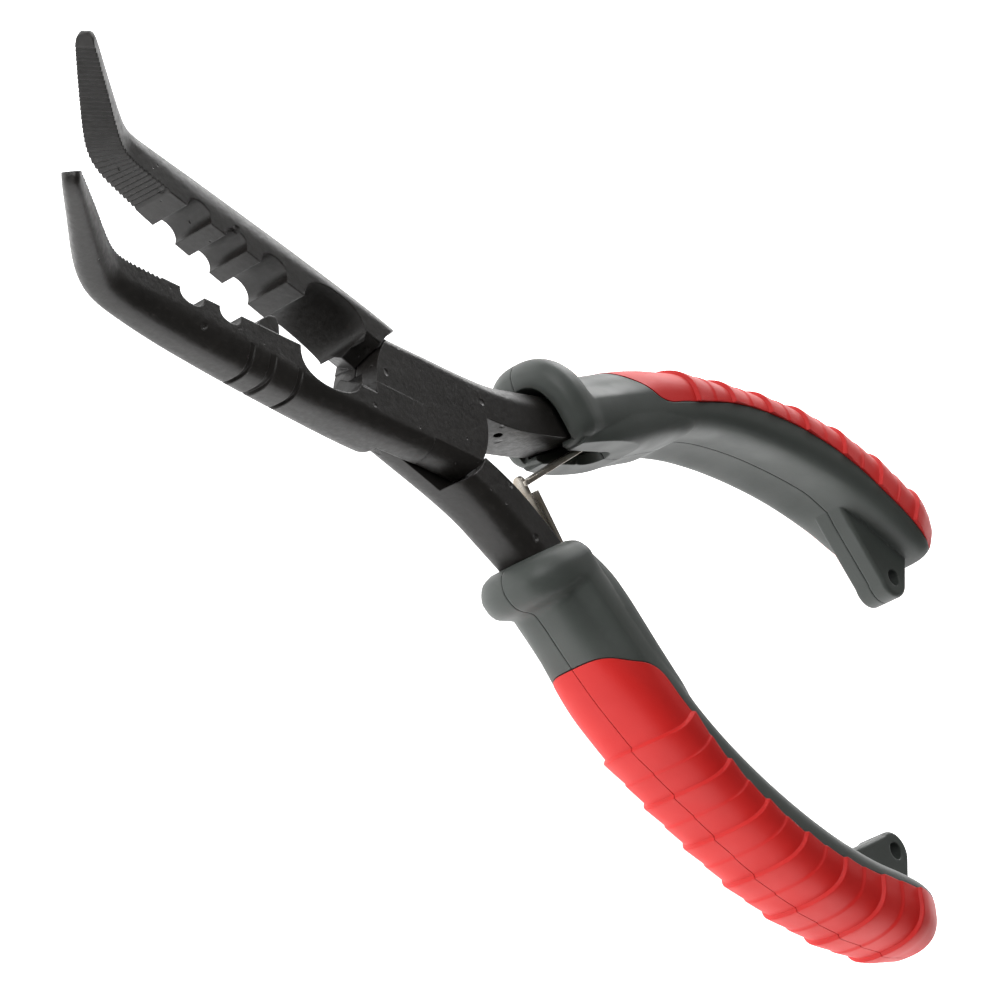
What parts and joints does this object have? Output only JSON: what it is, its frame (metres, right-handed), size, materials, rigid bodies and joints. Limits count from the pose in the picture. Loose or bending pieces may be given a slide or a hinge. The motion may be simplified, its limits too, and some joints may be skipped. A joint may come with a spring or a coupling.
{
  "type": "fishing pliers",
  "caption": "Bent long-nose fishing pliers with serrated jaws, crimping notches, side cutter, sprung handles and moulded two-colour grips with lanyard lugs.",
  "frame": {"origin": "on the pivot axis, on the flat front face of the lap joint", "axes": "+Z out of the joint's front face, along the pivot axis; +X from the pivot towards the handles' ends; -X towards the jaws, whose tips bend up towards +Z; +Y towards the handle that belongs to the front half"},
  "size_m": [0.2015, 0.0916, 0.0256],
  "materials": {
    "black_steel": "black oxide on forged steel, satin",
    "rivet_steel": "turned, dull",
    "spring_steel": "bare cold-rolled strip",
    "grey_grip": "satin moulded elastomer",
    "red_pad": "satin moulded elastomer"
  },
  "bodies": {
    "rear": {"rear_half": "black_steel", "lower_spring_rivet": "rivet_steel", "lower_grip_front": "grey_grip", "lower_grip_rear": "grey_grip", "lower_pad_front": "red_pad", "lower_pad_rear": "red_pad"},
    "front": {"front_half": "black_steel", "pivot_rivet": "rivet_steel", "upper_spring_rivet": "rivet_steel", "upper_grip_front": "grey_grip", "upper_grip_rear": "grey_grip", "upper_pad_front": "red_pad", "upper_pad_rear": "red_pad"},
    "upper_leaf": {"upper_leaf_spring": "spring_steel"},
    "lower_leaf": {"lower_leaf_spring": "spring_steel"}
  },
  "joints": [
    {"name": "pivot", "type": "hinge", "parent": "rear", "child": "front", "pos_m": [0, 0, 0], "axis": [0, 0, -1], "range_deg": [0, 15.3], "stiffness_Nm_per_rad": 0.4, "springref_deg": -11.46},
    {"name": "upper_leaf_flex", "type": "hinge", "parent": "front", "child": "upper_leaf", "pos_m": [0.03917, 0.0163, -0.0046], "axis": [0, 0, -1], "range_deg": [0, 10.5], "deforming": ["upper_leaf_spring"]},
    {"name": "lower_leaf_flex", "type": "hinge", "parent": "rear", "child": "lower_leaf", "pos_m": [0.03917, -0.0163, -0.0046], "axis": [0, 0, 1], "range_deg": [0, 10.5], "deforming": ["lower_leaf_spring"]}
  ],
  "couplings": [
    {"joint": "upper_leaf_flex", "follows": "pivot", "ratio": 0.66},
    {"joint": "lower_leaf_flex", "follows": "pivot", "ratio": 0.66}
  ]
}
